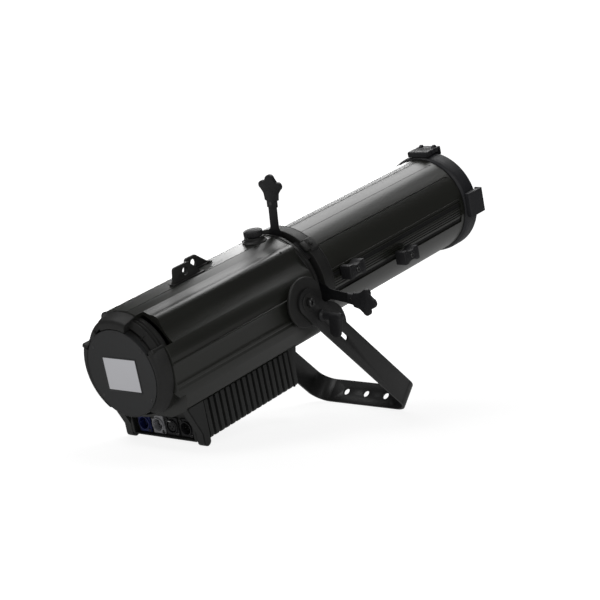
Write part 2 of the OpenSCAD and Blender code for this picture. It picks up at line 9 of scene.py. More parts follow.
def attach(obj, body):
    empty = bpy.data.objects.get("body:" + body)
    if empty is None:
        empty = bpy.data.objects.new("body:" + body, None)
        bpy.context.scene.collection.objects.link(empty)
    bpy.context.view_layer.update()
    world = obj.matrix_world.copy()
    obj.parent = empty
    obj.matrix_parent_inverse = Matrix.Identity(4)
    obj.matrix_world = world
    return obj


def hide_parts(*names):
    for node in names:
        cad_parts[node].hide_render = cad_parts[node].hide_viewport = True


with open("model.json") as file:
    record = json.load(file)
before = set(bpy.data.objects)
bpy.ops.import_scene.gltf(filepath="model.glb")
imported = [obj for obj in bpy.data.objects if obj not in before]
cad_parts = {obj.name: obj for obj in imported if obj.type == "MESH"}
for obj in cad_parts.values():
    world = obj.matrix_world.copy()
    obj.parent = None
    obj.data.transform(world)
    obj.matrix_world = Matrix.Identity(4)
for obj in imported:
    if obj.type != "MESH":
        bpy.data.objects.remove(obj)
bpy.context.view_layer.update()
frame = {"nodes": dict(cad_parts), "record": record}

# ---------------------------------------------------------------- frames
# Pieces are drawn in millimetres along the optical axis (x forward, y left, z up) and placed by BODY,
# or along the right yoke arm (x from the pivot to the crossbar) and placed by ARM.

JOINTS = {joint["name"]: joint for joint in frame["record"]["behaviour"]["joints"]}
MOUNTS = {mount["name"]: mount for mount in frame["record"]["mounts"]}
MM = 0.001
LEFTWARD = Vector((0, 1, 0))


def frame_matrix(origin, forward):
    up = forward.cross(LEFTWARD)
    turn = Matrix((forward, LEFTWARD, up)).transposed().to_4x4()
    return Matrix.Translation(origin) @ turn @ Matrix.Scale(MM, 4)


ZOOM_AT = -120
AXIS = Vector(JOINTS["zoom_slide"]["axis"]).normalized()
AXIS_ORIGIN = Vector(JOINTS["zoom_slide"]["pos_m"]) - AXIS * ZOOM_AT * MM
BODY = frame_matrix(AXIS_ORIGIN, AXIS)
PIVOT = Vector(JOINTS["yoke_tilt"]["pos_m"])
ARM = frame_matrix(PIVOT, Vector(MOUNTS["yoke_hole_centre"]["axis"]).normalized())
ARM_LENGTH = (Vector(MOUNTS["yoke_hole_centre"]["pos_m"]) - PIVOT).length / MM + 2.5

# ---------------------------------------------------------------- materials


def nodes_of(material):
    material.use_nodes = True
    tree = material.node_tree
    return tree, tree.nodes["Principled BSDF"]


def settings(node, values):
    for socket, value in values.items():
        node.inputs[socket].default_value = value


def finish_material(name, colour, rough, spread=0.25, mottle=40, grain=1500, depth=0.12, metal=0.0,
                    specular=0.5, coat=0.0, stretch=(1, 1, 1), rough_spread=0.08, anisotropic=0.0):
    """Paint, plastic or metal: mottled colour and roughness, with a fine grain in the surface."""
    material = bpy.data.materials.new(name)
    tree, shader = nodes_of(material)
    add, link = tree.nodes.new, tree.links.new
    coords = add("ShaderNodeTexCoord")
    mapping = add("ShaderNodeMapping")
    settings(mapping, {"Rotation": (0, math.asin(AXIS.z), 0), "Scale": stretch})
    link(coords.outputs["Object"], mapping.inputs["Vector"])
    cloud = add("ShaderNodeTexNoise")
    settings(cloud, {"Scale": mottle, "Detail": 4})
    link(mapping.outputs["Vector"], cloud.inputs["Vector"])
    tone = add("ShaderNodeMix")
    tone.data_type = "RGBA"
    settings(tone, {"A": (*[c * (1 - spread) for c in colour], 1),
                    "B": (*[min(1, c * (1 + spread)) for c in colour], 1)})
    link(cloud.outputs["Fac"], tone.inputs["Factor"])
    link(tone.outputs["Result"], shader.inputs["Base Color"])
    rough_map = add("ShaderNodeMapRange")
    settings(rough_map, {"To Min": rough - rough_spread, "To Max": rough + rough_spread})
    link(cloud.outputs["Fac"], rough_map.inputs["Value"])
    link(rough_map.outputs["Result"], shader.inputs["Roughness"])
    fine = add("ShaderNodeTexNoise")
    settings(fine, {"Scale": grain, "Detail": 2})
    link(mapping.outputs["Vector"], fine.inputs["Vector"])
    bump = add("ShaderNodeBump")
    settings(bump, {"Strength": depth, "Distance": 0.0004})
    link(fine.outputs["Fac"], bump.inputs["Height"])
    link(bump.outputs["Normal"], shader.inputs["Normal"])
    settings(shader, {"Metallic": metal, "Specular IOR Level": specular, "Coat Weight": coat,
                      "Coat Roughness": 0.35, "Anisotropic": anisotropic})
    return material


def glass_material(name, colour, rough):
    material = finish_material(name, colour, rough, spread=0.03, depth=0.01, rough_spread=0.01)
    shader = material.node_tree.nodes["Principled BSDF"]
    settings(shader, {"Transmission Weight": 0.95, "IOR": 1.5})
    return material


SATIN = finish_material("satin_extrusion", (0.020, 0.021, 0.017), 0.36, spread=0.18, mottle=30, grain=900,
                        depth=0.05, coat=0.25, stretch=(0.12, 1, 1), specular=0.6, rough_spread=0.04)
TUBE = finish_material("satin_tube", (0.022, 0.023, 0.018), 0.33, spread=0.18, mottle=30, grain=900,
                       depth=0.05, coat=0.3, stretch=(0.12, 1, 1), specular=0.6, rough_spread=0.04)
CAST = finish_material("textured_casting", (0.022, 0.022, 0.021), 0.5, spread=0.3, grain=1800, depth=0.3)
FINS = finish_material("ribbed_casting", (0.024, 0.025, 0.024), 0.46, spread=0.3, grain=1500, depth=0.25)
MOULDED = finish_material("moulded_plastic", (0.019, 0.019, 0.021), 0.5, spread=0.25, grain=2200, depth=0.15)
RING_PLASTIC = finish_material("ring_plastic", (0.026, 0.026, 0.030), 0.55, spread=0.25, grain=1600, depth=0.35)
PANEL = finish_material("display_plate", (0.032, 0.033, 0.034), 0.42, spread=0.12, grain=1500, depth=0.06)
# Near-black matt: the real black of inner parts and slot seals, and painted shade for the ridge holes, the gate and
# the front ring's rear recess
SHADOW = finish_material("matt_black_and_painted_shade", (0.008, 0.008, 0.008), 0.75, spread=0.3, grain=1200, depth=0.2)
STRAP = finish_material("strap_paint", (0.022, 0.022, 0.022), 0.42, spread=0.25, grain=1400, depth=0.2)
BOLT = finish_material("blackened_steel", (0.10, 0.10, 0.10), 0.34, spread=0.3, metal=0.9, grain=900, depth=0.1)
STEEL = finish_material("zinc_steel", (0.55, 0.55, 0.54), 0.32, spread=0.15, metal=1.0, grain=700, depth=0.08)
BLADE = finish_material("blade_steel", (0.035, 0.035, 0.037), 0.4, spread=0.4, metal=0.6, mottle=90, grain=600,
                        depth=0.08)
ALUMINIUM = finish_material("machined_aluminium", (0.62, 0.63, 0.64), 0.3, spread=0.1, metal=1.0, grain=500,
                            depth=0.08, stretch=(1, 0.1, 1), anisotropic=0.4)
BOARD = finish_material("circuit_board", (0.02, 0.12, 0.05), 0.4, spread=0.35, mottle=300, grain=900, depth=0.2)
CERAMIC = finish_material("white_ceramic", (0.7, 0.7, 0.68), 0.45, spread=0.05)
PHOSPHOR = finish_material("led_phosphor", (0.85, 0.62, 0.08), 0.35, spread=0.1, mottle=600)
BLUE = finish_material("blue_socket", (0.02, 0.03, 0.16), 0.42, spread=0.2, grain=2000, depth=0.1)
GREY = finish_material("grey_socket", (0.50, 0.50, 0.52), 0.42, spread=0.1, grain=2000, depth=0.1)
GLASS = glass_material("lens_glass", (0.92, 0.96, 0.97), 0.03)


def screen_material():
    material = finish_material("screen_face", (0.50, 0.50, 0.52), 0.28, spread=0.03, mottle=25, grain=300,
                               depth=0.01, rough_spread=0.03)
    shader = material.node_tree.nodes["Principled BSDF"]
    # The faint emission is a painted glow that brightens the screen face to a light grey
    settings(shader, {"Emission Color": (0.80, 0.80, 0.84, 1), "Emission Strength": 0.24})
    return material


SCREEN = screen_material()

# ---------------------------------------------------------------- mesh tools

CREASE = math.radians(28)


def polar(radius, degrees):
    a = math.radians(degrees)
    return radius * math.cos(a), radius * math.sin(a)


def arc(radius, start, end, steps, centre=(0, 0)):
    """Points of an arc, angles in degrees, ends included."""
    points = [polar(radius, start + (end - start) * i / steps) for i in range(steps + 1)]
    return [(centre[0] + u, centre[1] + v) for u, v in points]


def circle(radius, steps=48, centre=(0, 0)):
    return arc(radius, 0, 360, steps, centre)[:-1]


def rounded(points, radius, steps=4):
    """The closed outline with every corner rounded; radius is one number or one per corner."""
    result = []
    count = len(points)
    for i, corner in enumerate(points):
        here = Vector(corner)
        before, after = Vector(points[i - 1]), Vector(points[(i + 1) % count])
        r = radius[i] if isinstance(radius, (list, tuple)) else radius
        to_before, to_after = before - here, after - here
        if r <= 0 or to_before.length < 1e-6 or to_after.length < 1e-6:
            result.append(tuple(here))
            continue
        angle = to_before.angle(to_after)
        if angle > math.radians(176):
            result.append(tuple(here))
            continue
        reach = min(r / math.tan(angle / 2), to_before.length * 0.49, to_after.length * 0.49)
        r = reach * math.tan(angle / 2)
        middle = here + (to_before.normalized() + to_after.normalized()).normalized() * (r / math.sin(angle / 2))
        first = here + to_before.normalized() * reach - middle
        last = here + to_after.normalized() * reach - middle
        sweep = first.angle_signed(last)
        for step in range(steps + 1):
            result.append(tuple(middle + Matrix.Rotation(-sweep * step / steps, 2) @ first))
    return result


def smooth_curve(points, steps=5):
    """Catmull-Rom curve through the points, ends included."""
    padded = [Vector(points[0]) * 2 - Vector(points[1]), *[Vector(p) for p in points],
              Vector(points[-1]) * 2 - Vector(points[-2])]
    result = []
    for i in range(1, len(padded) - 2):
        a, b, c, d = padded[i - 1:i + 3]
        for step in range(steps):
            t = step / steps
            result.append(tuple(0.5 * (2 * b + (c - a) * t + (2 * a - 5 * b + 4 * c - d) * t * t
                                       + (3 * b - a - 3 * c + d) * t ** 3)))
    result.append(tuple(points[-1]))
    return result


def loft(rings, wrap=False):
    """Closed rings of equal length joined into a skin; the ends are capped unless it wraps."""
    mesh = bmesh.new()
    rows = [[mesh.verts.new(point) for point in ring] for ring in rings]
    pairs = list(zip(rows, rows[1:] + rows[:1])) if wrap else list(zip(rows, rows[1:]))
    for lower, upper in pairs:
        count = len(lower)
        for i in range(count):
            corner = (lower[i], lower[(i + 1) % count], upper[(i + 1) % count], upper[i])
            if len(set(corner)) == 4:
                mesh.faces.new(corner)
    if not wrap:
        mesh.faces.new(rows[0][::-1])
        mesh.faces.new(rows[-1])
    return mesh


def drawn(outline, start, end, along="x"):
    """The outline drawn out along an axis, from start to end."""
    order = {"x": lambda u, v, t: (t, u, v), "y": lambda u, v, t: (u, t, v), "z": lambda u, v, t: (u, v, t)}
    place = order[along]
    return loft([[place(u, v, t) for u, v in outline] for t in (start, end)])


def sections(profile_at, start, end, steps, count):
    """Profiles of (radius, x) placed at even angles about the x axis, angles up from +y."""
    angles = [start + (end - start) * i / steps for i in range(count)]
    return [[(x, *polar(r, degrees)) for r, x in profile_at(degrees)] for degrees in angles]


def turned(profile, steps=96, start=0, end=360):
    """A closed profile of (radius, x) turned about the x axis."""
    full = abs(end - start) >= 360
    mesh = loft(sections(lambda _: profile, start, end, steps, steps if full else steps + 1), wrap=full)
    bmesh.ops.remove_doubles(mesh, verts=mesh.verts, dist=1e-4)
    return mesh


def shaped_sector(profile_at, start, end, steps=40):
    """Like turned, with a profile that depends on the angle."""
    return loft(sections(profile_at, start, end, steps, steps + 1))


def slab(x0, x1, y0, y1, z0, z1, edge=0.6, segments=2):
    mesh = bmesh.new()
    bmesh.ops.create_cube(mesh, size=1)
    size = Vector((x1 - x0, y1 - y0, z1 - z0))
    middle = Vector((x1 + x0, y1 + y0, z1 + z0)) / 2
    for vert in mesh.verts:
        vert.co = Vector([c * s for c, s in zip(vert.co, size)]) + middle
    if edge > 0:
        bmesh.ops.bevel(mesh, geom=mesh.edges[:], offset=min(edge, min(size) * 0.45), segments=segments,
                        affect="EDGES", profile=0.5)
    return mesh


def cut(mesh, cutter):
    """The mesh without the space that the cutter fills."""
    pair = []
    for source in (mesh, cutter):
        data = bpy.data.meshes.new("cut")
        bmesh.ops.recalc_face_normals(source, faces=source.faces)
        source.to_mesh(data)
        source.free()
        pair.append(bpy.data.objects.new("cut", data))
        bpy.context.scene.collection.objects.link(pair[-1])
    modifier = pair[0].modifiers.new("cut", "BOOLEAN")
    modifier.operation, modifier.solver, modifier.object = "DIFFERENCE", "EXACT", pair[1]
    shape = pair[0].evaluated_get(bpy.context.evaluated_depsgraph_get()).to_mesh()
    result = bmesh.new()
    result.from_mesh(shape)
    for obj in pair:
        data = obj.data
        bpy.data.objects.remove(obj)
        bpy.data.meshes.remove(data)
    return result


def plate(outline, holes, start, end, along="x", edge=0.5):
    """A flat plate with holes and softly rounded edges."""
    curve = bpy.data.curves.new("plate_outline", "CURVE")
    curve.dimensions = "2D"
    curve.fill_mode = "BOTH"
    curve.resolution_u = 1
    for loop in [outline, *holes]:
        spline = curve.splines.new("POLY")
        spline.points.add(len(loop) - 1)
        for point, (u, v) in zip(spline.points, loop):
            point.co = (u, v, 0, 1)
        spline.use_cyclic_u = True
    curve.extrude = (end - start) / 2 - edge
    curve.bevel_depth = edge
    curve.bevel_resolution = 1
    curve.offset = -edge
    carrier = bpy.data.objects.new("plate_carrier", curve)
    bpy.context.scene.collection.objects.link(carrier)
    graph = bpy.context.evaluated_depsgraph_get()
    built = bpy.data.meshes.new_from_object(carrier.evaluated_get(graph))
    mesh = bmesh.new()
    mesh.from_mesh(built)
    bpy.data.objects.remove(carrier)
    bpy.data.curves.remove(curve)
    bpy.data.meshes.remove(built)
    bmesh.ops.remove_doubles(mesh, verts=mesh.verts, dist=1e-3)
    middle = (start + end) / 2
    order = {"x": lambda c: (c.z + middle, c.x, c.y), "y": lambda c: (c.x, c.z + middle, c.y),
             "z": lambda c: (c.x, c.y, c.z + middle)}
    for vert in mesh.verts:
        vert.co = order[along](vert.co)
    return mesh


def shaft(radius, start, end, along="x", centre=(0, 0), edge=0.5, steps=32, top=None):
    """A round bar along an axis with softened ends; centre is where the axis crosses the other two."""
    top = radius if top is None else top
    profile = rounded([(0, start), (radius, start), (top, end), (0, end)], [0, edge, edge, 0], 3)
    mesh = turned(profile, steps)
    place = {"x": lambda c: (c.x, c.y + centre[0], c.z + centre[1]),
             "y": lambda c: (c.y + centre[0], c.x, c.z + centre[1]),
             "z": lambda c: (c.y + centre[0], c.z + centre[1], c.x)}
    for vert in mesh.verts:
        vert.co = place[along](vert.co)
    return mesh


def moved(mesh, matrix):
    bmesh.ops.transform(mesh, matrix=matrix, verts=mesh.verts)
    return mesh


def shifted(mesh, x, y, z):
    return moved(mesh, Matrix.Translation((x, y, z)))


def about_axis(mesh, degrees):
    return moved(mesh, Matrix.Rotation(math.radians(degrees), 4, "X"))


def mirrored(mesh):
    copy = mesh.copy()
    bmesh.ops.transform(copy, matrix=Matrix.Scale(-1, 4, (0, 1, 0)), verts=copy.verts)
    bmesh.ops.reverse_faces(copy, faces=copy.faces)
    return copy


def both_sides(mesh):
    return [mesh, mirrored(mesh)]


def bevelled(mesh, width, angle=35, segments=2):
    """Softens every edge of the mesh that is sharper than the angle."""
    mesh.normal_update()
    sharp = [e for e in mesh.edges if len(e.link_faces) == 2 and e.calc_face_angle(0) > math.radians(angle)]
    bmesh.ops.bevel(mesh, geom=sharp, offset=width, segments=segments, affect="EDGES", clamp_overlap=True)
    return mesh


def piece(name, meshes, material, body, replaces=(), at=BODY):
    """Joins the meshes into one object in the row frame that rides on a body."""
    joined = bmesh.new()
    for mesh in meshes:
        carrier = bpy.data.meshes.new("part")
        mesh.to_mesh(carrier)
        joined.from_mesh(carrier)
        bpy.data.meshes.remove(carrier)
        mesh.free()
    bmesh.ops.recalc_face_normals(joined, faces=joined.faces)
    bmesh.ops.transform(joined, matrix=at, verts=joined.verts)
    for face in joined.faces:
        face.smooth = True
    for edge in joined.edges:
        if len(edge.link_faces) == 2 and edge.calc_face_angle(0) > CREASE:
            edge.smooth = False
    data = bpy.data.meshes.new(name)
    joined.to_mesh(data)
    joined.free()
    data.materials.append(material)
    made = bpy.data.objects.new(name, data)
    bpy.context.scene.collection.objects.link(made)
    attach(made, body)
    if replaces:
        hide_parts(*replaces)
    return made


def repaint(node, material):
    made = frame["nodes"][node]
    for index in range(max(1, len(made.material_slots))):
        if made.material_slots:
            made.material_slots[index].material = material
        else:
            made.data.materials.append(material)


# ---------------------------------------------------------------- housing

HOUSING_REAR, HOUSING_FRONT = -568, -214
RECESS_START, RECESS_END, RECESS_FRONT = 24, 68, -550
CAVITY = 84
PIVOT_X, PIVOT_Z = -256, -5.5


def housing_half():
    """Right half of the housing's cross section as seen from behind, from the top centre to the bottom."""
    strip = [(0, 91), (18.6, 91), (19.2, 90.4), (19.2, 89.6), (20.4, 89.6), (20.4, 90.9)]
    ridge = [(75.0, 92.6), (70, 91.6), (64, 91.4), (59, 93.0), (55, 95.8), (51.5, 97.0), (48, 95.6), (44, 91.6),
             (39, 88.6), (34, 88.0), (28, 89.4), (22, 92.6), (17, 94.2), (12, 94.4), (8.2, 93.8)]
    side = smooth_curve([polar(r, degrees) for degrees, r in ridge], 4)
    lower = rounded([(93.0, 10.6), (95.6, 9.6), (95.7, 6.8), (92.6, 5.8), (92.4, 1), (92.0, -21.5), (92.4, -24.8),
                     (93.4, -25.6), (93.4, -30.2), (92.2, -31.4), (92.9, -36), (92, -50), (89.4, -66), (88, -71),
                     (84, -76), (60, -86), (50, -90)],
                    [0, 0.8, 0.8, 0.8, 2, 2, 1, 1, 1, 1, 2, 6, 4, 2, 3, 3, 0], 3)
    return strip + side + lower


def ring_sector(inner, outer, x0, x1, start, end, steps=24):
    return shaped_sector(lambda _: [(inner, x0), (outer, x0), (outer, x1), (inner, x1)], start, end, steps)


def make_housing():
    half = housing_half()
    outline = half + [(-y, z) for y, z in reversed(half[1:])]
    shell = plate(outline, [circle(CAVITY, 96)], HOUSING_REAR, HOUSING_FRONT, "x", 0.5)
    # Air recesses at the rear, and the round rear end below the middle
    for start, end in ((RECESS_START, RECESS_END), (180 - RECESS_END, 180 - RECESS_START)):
        shell = cut(shell, ring_sector(60, 120, HOUSING_REAR - 3, RECESS_FRONT, start, end))
    shell = cut(shell, ring_sector(88, 130, HOUSING_REAR - 3, -554, 207, 333, 48))
    piece("housing_extrusion", [shell], SATIN, "housing", ["housing_shell"])
    # Near-black discs in the small screw holes on the ridge: painted shade for the holes' insides
    hole_shades = [about_axis(shaft(2.4, 95.6, 97.25, "z", (-246, 0), 0.3, 20), sign * 38.5) for sign in (-1, 1)]
    piece("ridge_hole_shade", hole_shades, SHADOW, "housing")


DISC_R, DISC_Z = 73, PIVOT_Z
REAR_X, SHELL_R = -592, 90
DRUM_REAR, DRUM_BORE_R = -584, 62
FLANGE_REAR, FLANGE_FRONT, FLANGE_R = -562, -556, 83.7


def disc_edge(degrees, gap):
    """Distance from the optical axis to the edge of the display plate, plus a gap."""
    a = math.radians(degrees)
    down = DISC_Z * math.sin(a)
    return down + math.sqrt((DISC_R + gap) ** 2 - DISC_Z ** 2 + down ** 2)


def shell_profile(degrees):
    inner = disc_edge(degrees, 0.8)
    return [(inner, REAR_X + 1.0), (inner + 0.7, REAR_X + 0.2), (77.4, REAR_X + 0.1), (80, REAR_X + 0.9),
            (82.4, REAR_X + 2.6), (84.2, REAR_X + 5.4), (SHELL_R - 0.4, HOUSING_REAR - 1.4),
            (SHELL_R - 0.8, HOUSING_REAR), (FLANGE_R, HOUSING_REAR), (FLANGE_R, FLANGE_REAR), (inner, FLANGE_REAR)]


def make_rear():
    flange = turned(rounded([(60, FLANGE_REAR), (FLANGE_R, FLANGE_REAR), (FLANGE_R, FLANGE_FRONT),
                             (60, FLANGE_FRONT)], 0.4, 2), 128)
    sectors = [shaped_sector(shell_profile, RECESS_END, 180 - RECESS_END, 32),
               shaped_sector(shell_profile, 180 - RECESS_START, 235, 48),
               shaped_sector(shell_profile, -55, RECESS_START, 48)]
    for sector in sectors:
        bevelled(sector, 0.7, 50)
    # Rounded corner blocks where each side part meets its recess
    corners = both_sides(about_axis(slab(-590.5, -562.5, -5, 2.4, 74, 86, 2.2, 4), RECESS_START - 90))
    piece("rear_cover", [flange, *sectors, *corners], CAST, "housing", ["rear_casting"])
    drum = turned(rounded([(DRUM_BORE_R, DRUM_REAR), (DISC_R, DRUM_REAR), (DISC_R, FLANGE_REAR),
                           (DRUM_BORE_R, FLANGE_REAR)], 0.4, 2), 128)
    shifted(drum, 0, 0, DISC_Z)
    # Louvres seen in the recesses
    rings = [drum]
    for x in (-581, -575, -569):
        blade = rounded([(73.5, x), (84.4, x + 5.2), (84.4, x + 6.6), (73.5, x + 1.8)], 0.4, 2)
        rings += both_sides(turned(blade, 32, RECESS_START - 0.4, RECESS_END + 0.4))
    rings += both_sides(about_axis(slab(-582, -563, -1.2, 1.2, 70, 80, 0.3), 46 - 90))
    piece("louvre_rings", rings, CAST, "housing", ["vent_rings"])


def make_display():
    rim = turned(rounded([(0, REAR_X + 0.6), (DISC_R - 1.4, REAR_X + 0.6), (DISC_R - 1.0, REAR_X),
                          (DISC_R - 0.1, REAR_X + 0.3), (DISC_R, REAR_X + 1.2), (DISC_R, DRUM_REAR),
                          (0, DRUM_REAR)],
                         [0, 0.2, 0.3, 0.4, 0.4, 0.5, 0], 3), 128)
    shifted(rim, 0, 0, DISC_Z)
    # Frame round the screen
    frame_outer = rounded([(-37.4, -37.4), (37.4, -37.4), (37.4, 21.4), (-37.4, 21.4)], 2.2, 5)
    frame_inner = rounded([(-35.3, -34.2), (35.3, -34.2), (35.3, 19.2), (-35.3, 19.2)], 0.6, 3)
    bezel = plate(frame_outer, [frame_inner], REAR_X + 0.15, REAR_X + 0.9, "x", 0.15)
    piece("display_plate", [rim, bezel], PANEL, "housing", ["display_bezel"])
    glass = slab(REAR_X + 0.35, REAR_X + 1.2, -35.2, 35.2, -34.1, 19.1, 0.2)
    piece("screen", [glass], SCREEN, "housing", ["touch_screen"])
    # Countersunk screws round the plate
    heads = []
    for degrees in (38, 142, 218, 322):
        y, z = polar(66, degrees)
        head = turned([(1.1, REAR_X + 0.9), (1.4, REAR_X + 0.25), (2.6, REAR_X + 0.25), (2.8, REAR_X + 0.8)], 24)
        heads.append(shifted(head, 0, y, z + DISC_Z))
    piece("plate_screws", heads, BOLT, "housing")


def make_engine():
    for node, material in {"display_board": BOARD, "fan_frame": MOULDED, "fan_screws": STEEL,
                           "heat_sink": ALUMINIUM, "led_board": CERAMIC, "led_emitter": PHOSPHOR,
                           "collimator_lens": GLASS, "engine_bulkhead": ALUMINIUM, "condenser_mount": SHADOW,
                           "condenser_lens": GLASS, "gate_plate": BOLT, "zoom_carriage": SHADOW,
                           "zoom_lens": GLASS, "focus_carriage": SHADOW, "focus_lens": GLASS,
                           "driver_board": BOARD, "box_screws": STEEL}.items():
        repaint(node, material)
    # Fan with seven curved and twisted blades
    parts = [shaft(18, -553, -535, "x", (0, 0), 1.5, 64)]
    for i in range(7):
        rows = []
        for step in range(9):
            r = 17 + 25.5 * step / 8
            pitch_angle = math.radians(58 - 26 * step / 8)
            sweep = math.radians(51.43 * i + 16 * (step / 8) ** 1.5)
            row = []
            for side, thick in ((-1, 0.6), (0, 0.9), (1, 0.4), (1, -0.4), (0, -0.3), (-1, -0.6)):
                reach = side * 9.5
                x = -544 + reach * math.cos(pitch_angle) * 0.85 - thick * math.sin(pitch_angle)
                across = reach * math.sin(pitch_angle) + thick * math.cos(pitch_angle)
                a = sweep + across / r
                row.append((x, r * math.cos(a), r * math.sin(a)))
            rows.append(row)
        parts.append(loft(rows))
    piece("fan_impeller", parts, MOULDED, "fan", ["fan_rotor"])


def make_lugs():
    rear = plate(rounded([(-455, 91.2), (-448.5, 117.8), (-413.5, 117.8), (-387, 91.2)], [1, 6, 6, 1], 6),
                 [circle(6.5, 32, (-424, 105))], -14, -9, "y", 0.9)
    front = plate(rounded([(-402, 91.2), (-395.5, 114.4), (-372.5, 114.4), (-343, 91.2)], [1, 6, 6, 1], 6),
                  [circle(6.5, 32, (-380, 102.5))], 9, 14, "y", 0.9)
    feet = [slab(-458, -384, -18, -5.5, 91, 93.4, 1.0), slab(-405, -340, 5.5, 18, 91, 93.4, 1.0)]
    screws = [shaft(3, 93.2, 95, "z", (x, y), 0.6, 20) for x, y in ((-450, -7), (-392, -7), (-398, 7), (-348, 7))]
    piece("safety_eyes", [rear, front, *feet, *screws], CAST, "housing", ["safety_lugs"])


def make_top_knob():
    knob_x = -238
    boss = turned(rounded([(4.1, 91), (23, 91), (18.4, 93.2), (17, 95), (17, 99.5), (4.1, 99.5)],
                          [0, 0.6, 5, 3, 1, 0], 5), 64)
    place = Matrix.Translation((knob_x, 0, 0)) @ Matrix.Rotation(math.radians(-90), 4, "Y")
    piece("knob_base", [moved(boss, place)], CAST, "housing", ["knob_boss"])
    # Angle and depth of the knurling's 24 grooves
    turn = [2 * math.pi * i / 144 for i in range(144)]
    rim = [(a, 0.55 * (1 - math.cos(24 * a)) / 2) for a in turn]
    levels = [(2.0, 100.0, 0), (14.2, 100.0, 0), (16.0, 101.0, 1), (16.4, 102.2, 1), (16.4, 108.6, 1),
              (15.8, 110.0, 0.8), (14.6, 110.6, 0), (13.2, 110.2, 0), (12.2, 111.0, 0), (9.0, 111.9, 0),
              (2.0, 112.0, 0)]
    rings = [[((r - groove * share) * math.cos(a), (r - groove * share) * math.sin(a), z) for a, groove in rim]
             for r, z, share in levels]
    knob = shifted(loft(rings), knob_x, 0, 0)
    stem = shaft(4, 84, 101, "z", (knob_x, 0), 0.3, 24)
    piece("barrel_screw_knob", [knob, stem], MOULDED, "barrel_knob", ["top_knob"])


# ---------------------------------------------------------------- gate and barrel

TUBE_REAR, TUBE_FRONT, TUBE_R = -172, 240.4, 88
SLOT_REAR, SLOT_FRONT, SLOT_HALF = -165, 230, 3.5
SLOT_UPPER_Z, SLOT_LOWER_Z = 4.8, -23
SLOT_RIBS = (6.6, -1.4, -4.4, -7.4, -10.4)


def make_gate():
    bezel = turned(rounded([(CAVITY, HOUSING_FRONT), (91.6, HOUSING_FRONT), (91, -212.6), (91, -201.4), (90, -200),
                            (CAVITY, -200)], [0.3, 0.6, 0.6, 0.8, 0.4, 0.3], 3), 128)
    seam = turned(rounded([(88, -208.4), (92.2, -208.4), (92.2, -206.8), (88, -206.8)], 0.4, 2), 128)
    piece("housing_front_ring", [bezel, seam], CAST, "housing", ["front_bezel"])
    # Gate posts and liner in the near-black matt: painted shade that keeps the shutter slot dark
    posts = [turned(rounded([(CAVITY, -200), (91, -200), (91, -190), (CAVITY, -190)], 0.5, 2), 12,
                    45 + 90 * i - 12, 45 + 90 * i + 12) for i in range(4)]
    liner = turned([(CAVITY - 2.5, -203), (CAVITY - 0.6, -203), (CAVITY - 0.6, -199.4), (CAVITY - 2.5, -199.4)], 96)
    piece("shutter_gate", [*posts, liner], SHADOW, "housing", ["gate_ring"])
    collar = turned(rounded([(80, -190), (95.2, -190), (95.5, -188), (95.5, -170.2), (94.6, -169), (94.6, -167.8),
                             (95.0, -166.6), (88.6, -157), (88.02, -157), (88.02, -171), (80, -171)],
                            [0.5, 0.8, 1, 0.6, 0.4, 0.4, 0.8, 0.4, 0, 0, 0.5], 3), 128)
    piece("barrel_ring", [collar], CAST, "housing", ["barrel_collar"])
    clamps = []
    for i in range(4):
        block = plate(rounded([(-13, 91), (13, 91), (12, 100), (-12, 100)], [0.5, 0.5, 2.4, 2.4], 4), [],
                      -189.4, -168.4, "x", 0.8)
        tab = slab(-200, -186, -9, 9, 96.5, 100.0, 0.9)
        head = shaft(4.2, 99.6, 102.4, "z", (-180, 0), 0.7, 24)
        clamps += [about_axis(mesh, 45 + 90 * i) for mesh in (block, tab, head)]
    piece("clamp_blocks", clamps, CAST, "housing", ["gate_clamps"])


def tube_outline():
    """Outer and inner edge of the lens tube's section, split at the two slots on the right side."""
    features = {85.5: (0.5, 0.45), 94.5: (0.5, 0.45), 66.8: (0.55, 0.4), 113.2: (0.55, 0.4),
                41.6: (1.0, 1.6), 138.4: (1.0, 1.6), -60: (0.6, 0.4), 240: (0.6, 0.4), -90: (0.6, 0.4)}

    def radius(degrees):
        side = degrees if degrees <= 90 else 180 - degrees
        r = TUBE_R
        for centre, (half, depth) in features.items():
            if abs((degrees - centre + 180) % 360 - 180) < half:
                r -= depth
        if 8.7 < side < 11.1:
            r = TUBE_R + 0.7
        if -17.6 < side < 8.7:
            r = 85.7
            if any(abs(side - rib) < 0.55 for rib in SLOT_RIBS):
                r = 87.3
        return r

    marks = set()
    for centre, (half, _) in features.items():
        marks |= {centre - half - 0.12, centre - half + 0.02, centre + half - 0.02, centre + half + 0.12}
    for rib in SLOT_RIBS:
        marks |= {rib - 0.7, rib - 0.5, rib + 0.5, rib + 0.7}
    marks |= {8.6, 8.8, 11.0, 11.25, -17.5, -17.75}
    marks |= {180 - mark for mark in marks}
    marks |= {float(d) for d in range(-90, 270, 3)}
    ordered = sorted({round((m + 90) % 360 - 90, 3) for m in marks})
    return ordered, radius


def tube_wall(ordered, radius, start, end):
    """Closed section of the tube wall between two angles in degrees."""
    angles = [start, *[m for m in ordered if start < m < end], end]
    return [polar(radius(a), a) for a in angles] + [polar(CAVITY, a) for a in reversed(angles)]


